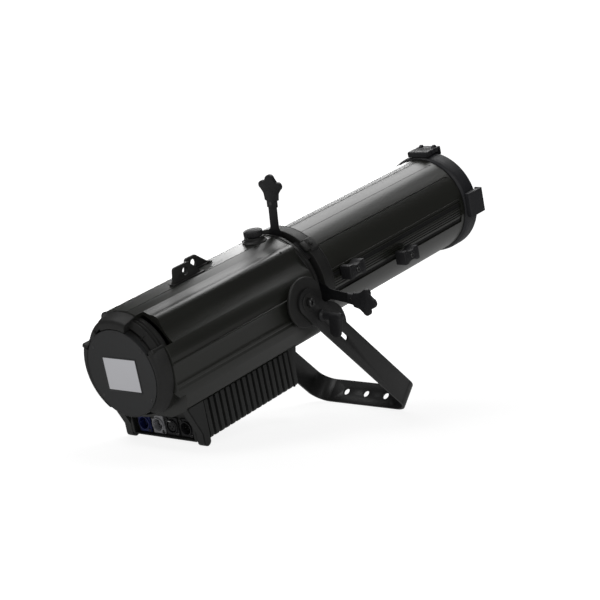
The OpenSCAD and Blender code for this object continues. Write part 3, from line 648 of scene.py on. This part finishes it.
def make_tube():
    ordered, radius = tube_outline()
    upper, lower = [[180 - math.degrees(math.asin((z + s * SLOT_HALF) / CAVITY)) for s in (1, -1)]
                    for z in (SLOT_UPPER_Z, SLOT_LOWER_Z)]
    ring_marks = ordered + [m + 360 for m in ordered]
    walls = [(upper[1], lower[0]), (lower[1], upper[0] + 360)]
    parts = [drawn(tube_wall(ring_marks, lambda a: radius((a + 90) % 360 - 90), *wall), SLOT_REAR, SLOT_FRONT)
             for wall in walls]
    for x0, x1 in ((TUBE_REAR, SLOT_REAR), (SLOT_FRONT, TUBE_FRONT)):
        parts.append(turned([(CAVITY, x0), (TUBE_R - 0.05, x0), (TUBE_R - 0.05, x1), (CAVITY, x1)], 128))
    piece("barrel_tube", parts, TUBE, "housing", ["lens_tube"])
    # Dark dust seals along the inside of the two slots
    seals = [turned([(84.2, -164.5), (84.9, -164.5), (84.9, 229.5), (84.2, 229.5)], 6, start - 0.4, end + 0.4)
             for start, end in (upper, lower)]
    piece("slot_seals", seals, SHADOW, "housing")


def make_slide_knob(name, x, z, body, node):
    """Clamping knob with waisted sides, a ribbed face and a centre screw."""
    half_x, half_z, waist = 21.5, 12.5, 8.6
    bow, spread = 31, 24
    low = bow * math.cos(math.radians(spread))
    sag = [(px, half_z - (py - low) * (half_z - waist) / (bow - low))
           for px, py in arc(bow, 90 + spread, 90 - spread, 10)]
    outline = [(-half_x, half_z), *sag, (half_x, half_z), (half_x, -half_z),
               *[(px, -pz) for px, pz in reversed(sag)], (-half_x, -half_z)]
    outline = rounded(outline, [2.5, *[0] * len(sag), 2.5, 2.5, *[0] * len(sag), 2.5], 4)
    outline = [(px + x, pz + z) for px, pz in outline]
    base = plate(outline, [], -112.4, -91, "y", 1.3)
    small = [((px - x) * 0.84 + x, (pz - z) * 0.8 + z) for px, pz in outline]
    rim = plate(small, [circle(6.5, 32, (x, z))], -113, -111.6, "y", 0.3)
    ribs = [slab(x + offset - 0.7, x + offset + 0.7, -113.4, -112, z - 6.5, z + 6.5, 0.3)
            for offset in (-16, -13, -10, 10, 13, 16)]
    piece(name, [base, rim, *ribs, shaft(3.45, -92, -70, "y", (x, z), 0.2, 24)], MOULDED, body, [node])
    head = turned(rounded([(1.8, 0), (1.8, -1.2), (4.2, -1.2), (4.9, -0.4), (4.9, 1), (1.8, 1)], 0.2, 2), 32)
    moved(head, Matrix.Translation((x, -113, z)) @ Matrix.Rotation(math.radians(90), 4, "Z"))
    piece(name + "_screw", [head], BOLT, body)


CLAW_HALF, CLAW_REAR, CLAW_FRONT, CLAW_TOP = 22.5, 240.8, 285, 102
RING_FACE, LIP_REAR, LIP_LOW, FRAME_FLOOR = 276.1, 282.5, 86.4, 98
LATCH_PIN = (262, 98)


def make_front():
    ring = turned(rounded([(81, 227), (83.9, 227), (83.9, 240.4), (89.2, 240.4), (92.6, 244.4), (93.5, 251),
                           (93.5, 273.6), (91.6, 276), (86, 276), (86, 272), (81, 272)],
                          [0.6, 0.4, 0, 1.2, 4, 6, 2, 1, 0.4, 0.4, 0.6], 4), 160)
    # A thin near-black ring behind the front ring: painted shadow for the dark recess at the ring's rear edge
    piece("front_ring_recess_shade", [turned([(86, 238.6), (88.25, 238.6), (88.25, 240.9), (86, 240.9)], 160)], SHADOW, "housing")
    piece("barrel_front_ring", [ring], RING_PLASTIC, "housing", ["front_ring"])
    # Front part of a side claw and of the latch: a wall with a lip that keeps the colour frame
    lip = [(CLAW_FRONT - 0.8, CLAW_TOP), (CLAW_FRONT, CLAW_TOP - 1), (CLAW_FRONT, LIP_LOW), (LIP_REAR, LIP_LOW),
           (LIP_REAR, FRAME_FLOOR)]
    sides = rounded([(CLAW_REAR, 93.2), (CLAW_REAR, 100.6), (243, CLAW_TOP), *lip, (RING_FACE, FRAME_FLOOR),
                     (RING_FACE, 92), (246, 92)], [0.3, 1.2, 1, 0.8, 0.6, 0.6, 0.4, 0.4, 0.3, 0.3, 0.3], 3)
    claws = []
    for degrees in (90, 270):
        wall = bevelled(drawn(sides, -CLAW_HALF, CLAW_HALF, "y"), 0.7, 50)
        ribs = [bevelled(drawn([(246, 92.5), (275.8, 92.5), (275.8, 88), (250, 88)], y - 1.2, y + 1.2, "y"), 0.2, 50)
                for y in (-16, 0, 16)]
        claws += [about_axis(mesh, degrees) for mesh in [wall, *ribs]]
    # The bottom claw stays within the outline of the ring
    low = rounded([(RING_FACE, LIP_LOW), (RING_FACE, 90), (LIP_REAR, 90), (LIP_REAR, LIP_LOW), (CLAW_FRONT, LIP_LOW),
                   (CLAW_FRONT, 92), (CLAW_FRONT - 1, 93), (274, 93), (274, LIP_LOW)],
                  [0.2, 0.2, 0.3, 0.4, 0.4, 0.6, 0.6, 0.3, 0.3], 3)
    claws.append(about_axis(bevelled(drawn(low, -CLAW_HALF, CLAW_HALF, "y"), 0.6, 50), 180))
    base = bevelled(drawn([(CLAW_REAR, 92.2), (CLAW_REAR, 100.6), (243, CLAW_TOP), (256.6, CLAW_TOP), (256.6, 92.2)],
                          -CLAW_HALF, CLAW_HALF, "y"), 0.7, 50)
    ears = both_sides(plate(rounded([(254, 93.6), (254, CLAW_TOP), (264, CLAW_TOP), (266, 100), (266, 93.6)],
                                    [0.5, 0.5, 2, 1.5, 0.5], 3), [circle(2.05, 20, LATCH_PIN)],
                            18.4, CLAW_HALF, "y", 0.5))
    piece("colour_frame_claws", [*claws, base, *ears], RING_PLASTIC, "housing", ["frame_claws"])
    wall = rounded([(268.2, 94), (268.2, CLAW_TOP), *lip, (RING_FACE + 0.1, FRAME_FLOOR), (RING_FACE + 0.1, 94)],
                   [0.3, 0.3, 0.8, 0.6, 0.6, 0.4, 0.4, 0.3, 0.3], 3)
    horn = plate(rounded([(268.6, 101.6), (275.5, 106), (278.4, 106), (280.5, 101.6)], [0.4, 1, 1, 0.4], 3), [],
                 11.5, 17.5, "y", 0.5)
    latch = [bevelled(drawn(wall, -CLAW_HALF, CLAW_HALF, "y"), 0.6, 50), slab(262, 269, -18, 18, 94.2, 101.6, 0.6),
             shaft(4, -18, 18, "y", LATCH_PIN, 0.5, 32), shaft(2, -CLAW_HALF, CLAW_HALF, "y", LATCH_PIN, 0.3, 20),
             *both_sides(horn)]
    piece("top_claw_latch", latch, RING_PLASTIC, "latch", ["frame_latch"])


# ---------------------------------------------------------------- driver box

BOX_HALF, RIB_PITCH, RIB_T, RIBS = 88, 13.3, 8.3, 17
RIB_TOP, RIB_BOTTOM, BOX_TOP = -71.3, -139, -90.4
PANEL_X, SOCKET_Z = -524, -121
SOCKET_Y = (46.5, 15.5, -15.5, -46.5)


def foot_centre():
    """Centre of the round foot of the rear posts, which touch the floor."""
    x, r = -525, 8
    floor = -AXIS_ORIGIN.z / MM
    return x, (floor + r - AXIS.z * x) / math.sqrt(1 - AXIS.z ** 2)


def rib_half(drop=0.0):
    return [(0, BOX_TOP - 0.2), (50, BOX_TOP - 0.2), (60, -86.6), (84.4, -76.6), (BOX_HALF - drop, RIB_TOP),
            (BOX_HALF - drop, RIB_BOTTOM + drop), (0, RIB_BOTTOM + drop)]


def make_driver_box():
    half = rib_half()
    outline = half[1:-1] + [(-y, z) for y, z in reversed(half[1:-1])]
    outline = rounded(outline, [1, 1, 1, 1.5, 8, 8, 1.5, 1, 1, 1], 5)
    ribs = [plate(outline, [], -516 + i * RIB_PITCH, -516 + i * RIB_PITCH + RIB_T, "x", 1.1) for i in range(RIBS)]
    core_half = [(50, BOX_TOP - 0.4), (60, -87), (72, -82), (74, -84), (74, -126), (71, -129)]
    core = drawn(rounded(core_half + [(-y, z) for y, z in reversed(core_half)], 1.2, 3), -517, -300.5, "x")
    front = bevelled(drawn([(-305, -74), (-302, RIB_TOP - 0.4), (-282.6, RIB_TOP - 0.2), (-298.8, -133),
                            (-302.6, RIB_BOTTOM + 0.4), (-305, RIB_BOTTOM + 0.6)], -76, 76, "y"), 0.8, 30)
    cheek = rounded([(-305, -71.4), (-282.4, -71.4), (-298.8, -132), (-303, -138.4), (-305, -138.4)],
                    [0, 1.5, 3, 2, 0], 4)
    cheeks = both_sides(bevelled(drawn(cheek, 70, 87.6, "y"), 0.9, 50))
    piece("ribbed_driver_case", [*ribs, core, front, *cheeks], FINS, "housing", ["driver_box"])
    # Rear frame: two posts with round feet, a top and a bottom bar, and short blocks beside the panel
    fx, fz = foot_centre()
    foot = arc(8, 180, 360, 12, (fx, fz))[:-1] + [(fx + 8, fz + 2), (-516.2, fz + 6)]
    side = [(-552.8, -72), (-552.8, -77.3), (-533, fz + 16), (-533, fz), *foot[1:-1], (-516.2, -72)]
    posts = both_sides(bevelled(drawn(side, 71, 87.8, "y"), 1.4, 40))
    inner = both_sides(bevelled(drawn([(-533, -95), (-533, -138), (-531, -140), (-517, -140), (-517, -95)],
                                      66, 72, "y"), 0.6, 40))
    bars = [slab(-532.6, -517, -71, 71, -96, -88, 1.2), slab(-531, -517, -68, 68, -141, -138.3, 0.8)]
    shoulder = both_sides(drawn([(60, -95), (86, -95), (86, -75.4), (84.3, -76.6), (60, -86.8)], -532.6, -516.4, "x"))
    piece("driver_rear_frame", [*posts, *inner, *bars, *shoulder], FINS, "housing", ["box_rear_frame"])


def make_panel():
    holes = [circle(12.1, 40, (y, SOCKET_Z)) for y in SOCKET_Y]
    plate_mesh = plate(rounded([(-67.2, -138), (67.2, -138), (67.2, -95), (-67.2, -95)], 1.5, 3), holes,
                       PANEL_X, PANEL_X + 3, "x", 0.3)
    back = slab(-497, -495, -68, 68, -137, -96, 0.3)
    piece("connector_panel", [plate_mesh, back], CAST, "housing", ["rear_panel"])
    # Thin printed lines under the sockets, without lettering
    ticks = [slab(PANEL_X - 0.15, PANEL_X + 0.1, y - 5, y + 5, -137.4, -136.8, 0) for y in SOCKET_Y]
    piece("panel_ticks", ticks, GREY, "housing")
    make_socket("mains_inlet_socket", SOCKET_Y[0], BLUE, ["power_inlet"], "mains")
    make_socket("mains_outlet_socket", SOCKET_Y[1], GREY, ["power_outlet"], "mains")
    make_socket("control_output_socket", SOCKET_Y[2], MOULDED, ["dmx_output"], "female")
    make_socket("control_input_socket", SOCKET_Y[3], MOULDED, ["dmx_input"], "male")
    tab = shifted(slab(-531.3, -521.6, -2.9, 2.9, 9.35, 11.15, 0.4), 0, SOCKET_Y[2], SOCKET_Z)
    piece("socket_release_tab", [tab], STEEL, "dmx_release", ["dmx_latch"])
    heads = []
    for y in SOCKET_Y:
        for s in (-1, 1):
            head = turned(rounded([(1.0, -526.9), (1.3, -528.2), (2.2, -528.2), (2.8, -527.2), (2.8, -526.4),
                                   (1.0, -526.4)], 0.15, 2), 24)
            heads.append(shifted(head, 0, y + s * 9.5, SOCKET_Z + s * 12))
    piece("socket_screws", heads, BOLT, "housing", ["panel_screws"])
    cap = turned(rounded([(0, -524), (7, -524), (7, -525.6), (5.6, -526), (5.2, -529), (1.6, -529), (1.6, -528),
                          (0, -528)], [0, 0.3, 0.6, 0.3, 1, 0.2, 0.2, 0], 3), 40)
    shifted(cap, 0, -56, -99.9)
    piece("fuse_cap", [cap], MOULDED, "housing", ["fuse_holder"])


def make_socket(name, y, material, nodes, style):
    pins = [polar(4, degrees) for degrees in (180, 270, 360)]
    corner = rounded([(-13, -15.5), (13, -15.5), (13, 15.5), (-13, 15.5)], 2, 5)
    face = plate(corner, [circle(10.4, 40), circle(1.7, 16, (-9.5, -12)), circle(1.7, 16, (9.5, 12))],
                 PANEL_X - 2.5, PANEL_X, "x", 0.4)
    collar = turned(rounded([(10.3, -528.9), (12, -528.9), (12, -500), (10.3, -500)], [0.4, 0.8, 0.3, 0.3], 3), 64)
    floor = turned([(0, -512.4), (11, -512.4), (11, -500.2), (0, -500.2)], 48)
    parts = [face, collar, floor]
    if style == "mains":
        parts.append(turned(rounded([(0, -520), (4.4, -520), (5, -519), (5, -512), (0, -512)],
                                    [0, 0.8, 0.5, 0, 0], 3), 40))
        parts += [about_axis(slab(-526, -513, -1.6, 1.6, 8.4, 10.6, 0.4), a) for a in (30, 150, 270)]
        parts += [about_axis(slab(-519.5, -514, -0.8, 0.8, 5.6, 8.2, 0.2), a) for a in (90, 210, 330)]
    if style == "female":
        parts.append(plate(circle(8, 40), [circle(1.3, 12, pin) for pin in pins], -527.6, -513, "x", 0.4))
    if style == "male":
        parts += [shaft(1.2, -524, -512, "x", pin, 0.5, 16) for pin in pins]
    piece(name, [shifted(mesh, 0, y, SOCKET_Z) for mesh in parts], material, "housing", nodes)


# ---------------------------------------------------------------- yoke

STRAP_IN, STRAP_T, STRAP_W = 103.7, 5, 45


def make_pivots():
    """Hub, friction plate, screw and washer on each side; profiles are (radius, distance from the middle)."""
    hub = rounded([(5.1, 86), (35.5, 86), (35, 95), (34, 97.6), (5.1, 97.6)], [0, 0, 2, 1, 0], 4)
    disc = rounded([(5.1, 97.8), (40.6, 97.8), (42.6, 99.4), (42.6, 102.4), (41.6, 103.6), (5.1, 103.6)],
                   [0, 1, 0.8, 0.6, 0.6, 0], 3)
    screw = rounded([(0, 84), (4.9, 84), (4.9, 110.7), (6.9, 110.7), (7.2, 112), (6.9, 117), (6, 118), (3.4, 118),
                     (3.0, 117.4), (2.6, 114), (0, 114)], [0, 0, 0, 0.2, 0.4, 0.8, 0.6, 0.2, 0.2, 0, 0], 3)
    washer = rounded([(5.1, 108.8), (15, 108.8), (15, 110), (14.4, 110.6), (5.1, 110.6)], 0.3, 2)
    for name, profile, steps, material, slot, nodes in (
            ("pivot_hubs", hub, 80, CAST, "cast_black", ["pivot_bosses"]),
            ("friction_plates", disc, 96, CAST, "moulded_black", ["friction_discs"]),
            ("pivot_screws", screw, 48, BOLT, "fastener_steel", ["pivot_bolts"]),
            ("pivot_washers", washer, 64, CAST, "fastener_steel", [])):
        pair = [moved(turned(profile, steps), Matrix.Translation((PIVOT_X, 0, PIVOT_Z))
                      @ Matrix.Rotation(math.radians(90 * sign), 4, "Z")) for sign in (-1, 1)]
        piece(name, pair, material, "housing", nodes)


def arm_outline():
    """Side view of an arm, from the round end over the lobe to where the bend begins."""
    half = STRAP_W / 2
    r, cu, ct = 47, 73, -10.4
    reach = math.sqrt(r * r - (half - ct) ** 2)
    start = math.degrees(math.atan2(half - ct, -reach))
    lobe = arc(r, start, 180 - start, 24, (cu, ct))
    return [*arc(half, 270, 90, 24, (0, 0)), *lobe, (ARM_LENGTH - 33, half), (ARM_LENGTH - 33, -half)]


def make_yoke():
    slot = arc(4.5, 90, 270, 12, (72, 0)) + arc(4.5, 270, 450, 12, (122, 0))
    arms = both_sides(plate(arm_outline(), [slot, circle(5.1, 24)], STRAP_IN, STRAP_IN + STRAP_T, "y", 0.7))
    half, bend_r = STRAP_W / 2, 27
    section = rounded([(0, -half), (STRAP_T, -half), (STRAP_T, half), (0, half)], 0.8, 3)
    path = []
    for s in (-1, 1):
        bend = []
        for step in range(17):
            a = math.radians(90 * step / 16)
            bend.append((ARM_LENGTH - bend_r - STRAP_T + bend_r * math.sin(a),
                         s * (STRAP_IN - bend_r + bend_r * math.cos(a)), math.sin(a), s * math.cos(a)))
        bend.insert(0, (ARM_LENGTH - 34, s * STRAP_IN, 0, s))
        path.append(bend)
    route = path[0] + path[1][::-1]
    rings = [[(x + nx * d, y + ny * d, z) for d, z in section] for x, y, nx, ny in route]
    split = len(path[0])
    bends = [loft(rings[:split]), loft(rings[split:])]
    holes = [circle(6.5, 32, (y, 0)) for y in (-45, 0, 45)]
    reach = STRAP_IN - bend_r + 0.5
    bar = plate([(-reach, -half), (reach, -half), (reach, half), (-reach, half)], holes,
                ARM_LENGTH - STRAP_T, ARM_LENGTH, "x", 0.7)
    piece("yoke_bracket", [*arms, *bends, bar], STRAP, "yoke", ["yoke_strap"], ARM)


def make_lever(name, body, node, sign):
    """Clamp lever: a collar and a fat round stem out from the arm, then a flat handle hanging down."""
    level = Matrix.Translation((42, 0, -1)) @ Matrix.Rotation(-math.asin(-ARM.col[0].normalized().z), 4, "Y")
    parts = [turned(rounded([(0, 109), (10, 109), (10, 112), (8.5, 113.6), (6.6, 115.5), (6.4, 140), (6.8, 148),
                             (5.4, 152.4), (2.5, 153), (0, 153)], [0, 0.6, 0.8, 1, 2, 6, 4, 2.4, 2, 0], 4), 48)]
    moved(parts[0], Matrix.Rotation(math.radians(90), 4, "Z"))
    turn = [2 * math.pi * i / 28 for i in range(28)]
    rows = []
    for drop, lo, hi, thick in ((3.5, 124, 150.5, 4.4), (-2, 124.6, 152.6, 5.6), (-8, 126.4, 153, 4.8),
                                (-15, 127.4, 153, 3.6), (-22, 127.8, 153, 3.1), (-28.5, 128.4, 152.4, 2.9),
                                (-32.4, 130.8, 150.4, 2.4), (-34.3, 134, 147, 1.4)):
        mid, half = (lo + hi) / 2, (hi - lo) / 2
        rows.append([(thick * math.cos(a) - 1.2,
                      mid + half * math.copysign(abs(math.sin(a)) ** 0.55, math.sin(a)), drop) for a in turn])
    parts.append(loft(rows))
    parts.append(shaft(5, 104, 110, "y", (0, 0), 0.3, 24))
    parts = [moved(mesh, level) for mesh in parts]
    if sign < 0:
        parts = [mirrored(mesh) for mesh in parts]
    piece(name, parts, MOULDED, body, [node], ARM)


# ---------------------------------------------------------------- shutters

def shutter_turn(side):
    """Places a shutter drawn upwards from the axis: its own slide axis gives the direction."""
    inward = Vector(JOINTS[f"shutter_{side}_slide"]["axis"]).normalized()
    outward = BODY.to_3x3().normalized().inverted() @ -inward
    return Matrix.Rotation(math.atan2(-outward.y, outward.z), 4, "X")


def make_shutter(side, plane, draw):
    place = shutter_turn(side) @ Matrix.Translation((plane, 0, draw))
    outline = rounded([(-38, 46), (38, 46), (38, 66), (14, 84), (14, 94), (9.2, 101), (9.2, 150),
                       (-9.2, 150), (-9.2, 101), (-14, 94), (-14, 84), (-38, 66)],
                      [1, 1, 4, 6, 3, 5, 0.5, 0.5, 5, 3, 6, 4], 4)
    blade = drawn(outline, -0.5, 0.5, "x")
    piece(f"{side}_shutter_blade", [moved(blade, place)], BLADE, f"shutter_{side}",
          [f"shutter_{side}_blade"])
    lobes = [*arc(7.2, -62, 118, 8, (16.4, 177)), *arc(8.6, 12, 168, 8, (0, 187.4)),
             *arc(7.2, 62, 242, 8, (-16.4, 177))]
    flank = [(-14.2, 163), (-13.0, 154), (-13.0, 151.4), (-9.2, 149.6), (-9.2, 138.4)]
    grip = rounded([*lobes, *flank, *[(-u, v) for u, v in reversed(flank)]],
                   [*[0] * len(lobes), 8, 2, 0.8, 0.8, 0.8, 0.8, 0.8, 0.8, 2, 8], 3)
    body = plate(grip, [], -4, 4, "x", 1.2)
    ribs = [slab(s * 3.9 - 0.35, s * 3.9 + 0.35, -8, 8, v - 0.7, v + 0.7, 0.25)
            for s in (-1, 1) for v in (168, 172, 176)]
    rivet = [shaft(2, -4.2, 4.2, "x", (0, 146), 0.2, 20), shaft(3.2, 3.8, 4.6, "x", (0, 146), 0.4, 24),
             shaft(3.2, -4.6, -3.8, "x", (0, 146), 0.4, 24)]
    piece(f"{side}_shutter_grip", [moved(mesh, place) for mesh in [body, *ribs]], MOULDED, f"shutter_{side}",
          [f"shutter_{side}_grip"])
    piece(f"{side}_shutter_rivet", [moved(mesh, place) for mesh in rivet], BOLT, f"shutter_{side}")


# ---------------------------------------------------------------- stage

def camera_only(tree, low, high):
    """A value that is high where the camera looks straight at a surface, and low for the light it gives."""
    rays = tree.nodes.new("ShaderNodeLightPath")
    value = tree.nodes.new("ShaderNodeMapRange")
    settings(value, {"To Min": low, "To Max": high})
    tree.links.new(rays.outputs["Is Camera Ray"], value.inputs["Value"])
    return value


def make_stage():
    floor = bmesh.new()
    bmesh.ops.create_grid(floor, x_segments=2, y_segments=2, size=14.0)
    data = bpy.data.meshes.new("studio_floor")
    floor.to_mesh(data)
    floor.free()
    white = bpy.data.materials.new("studio_floor")
    tree, shader = nodes_of(white)
    settings(shader, {"Base Color": (0.3, 0.3, 0.3, 1), "Roughness": 0.9, "Specular IOR Level": 0.0,
                      "Emission Color": (1, 1, 1, 1)})
    glow = camera_only(tree, 0.22, 0.86)
    tree.links.new(glow.outputs["Result"], shader.inputs["Emission Strength"])
    # The glow rises with distance, so the floor meets the backdrop without a line
    place = tree.nodes.new("ShaderNodeNewGeometry")
    far = tree.nodes.new("ShaderNodeVectorMath")
    far.operation = "LENGTH"
    rise = tree.nodes.new("ShaderNodeMapRange")
    settings(rise, {"From Min": 0.5, "From Max": 1.5, "To Min": 0.86, "To Max": 1.1})
    tree.links.new(place.outputs["Position"], far.inputs[0])
    tree.links.new(far.outputs["Value"], rise.inputs["Value"])
    tree.links.new(rise.outputs["Result"], glow.inputs["To Max"])
    data.materials.append(white)
    made = bpy.data.objects.new("studio_floor", data)
    bpy.context.scene.collection.objects.link(made)
    made.location = (0, 0, -0.0005)


def area_light(name, place, target, size, power, long_side=None):
    data = bpy.data.lights.new(name, "AREA")
    data.energy = power
    data.size = size
    if long_side:
        data.shape = "RECTANGLE"
        data.size_y = long_side
    made = bpy.data.objects.new(name, data)
    bpy.context.scene.collection.objects.link(made)
    made.location = place
    made.rotation_euler = (Vector(target) - Vector(place)).to_track_quat("-Z", "Y").to_euler()
    made.visible_camera = False


def make_light():
    world = bpy.data.worlds.new("studio")
    bpy.context.scene.world = world
    world.use_nodes = True
    tree = world.node_tree
    sky = tree.nodes["Background"]
    sky.inputs["Color"].default_value = (1, 1, 1, 1)
    tree.links.new(camera_only(tree, 0.06, 1.1).outputs["Result"], sky.inputs["Strength"])
    area_light("key_top", (1.25, 0.75, 2.1), (0.05, 0, 0.3), 1.2, 17, long_side=1.5)
    area_light("rim_left", (2.3, 2.5, 1.1), (0, 0, 0.3), 1.9, 40, long_side=1.0)
    area_light("side_right", (-2.0, -2.2, 1.7), (0, 0, 0.2), 1.2, 20)
    area_light("rear_top", (-1.2, 0.9, 2.2), (0, 0, 0.3), 1.0, 12)
    area_light("ridge_right", (1.25, -0.38, 2.2), (0, 0, 0.3), 0.16, 1.6, long_side=1.2)


def make_camera():
    data = bpy.data.cameras.new("camera")
    data.sensor_width = 36
    data.lens = 106.7
    made = bpy.data.objects.new("camera", data)
    bpy.context.scene.collection.objects.link(made)
    view = Vector((0.7616, 0.6423, -0.0854)).normalized()
    made.location = Vector(((-2481.7 + AXIS_ORIGIN.x / MM) * MM, -1978.1 * MM, 0.1757 + AXIS_ORIGIN.z))
    made.rotation_euler = view.to_track_quat("-Z", "Y").to_euler()
    bpy.context.scene.camera = made


make_camera()
make_housing()
make_rear()
make_display()
make_engine()
make_lugs()
make_top_knob()
make_gate()
make_tube()
make_slide_knob("zoom_grip_knob", ZOOM_AT, 4.8, "zoom_grip", "zoom_knob")
make_slide_knob("focus_grip_knob", 31.8, -23, "focus_grip", "focus_knob")
make_front()
make_driver_box()
make_panel()
make_pivots()
make_yoke()
make_lever("right_clamp_lever", "lever_right", "lock_lever_right", -1)
make_lever("left_clamp_lever", "lever_left", "lock_lever_left", 1)
make_shutter("top", -195.4, 0)
make_shutter("right", -191.0, 3)
make_shutter("left", -193.2, 3)
make_shutter("bottom", -197.6, 0)
make_stage()
make_light()

bpy.context.scene.view_settings.view_transform = "Standard"
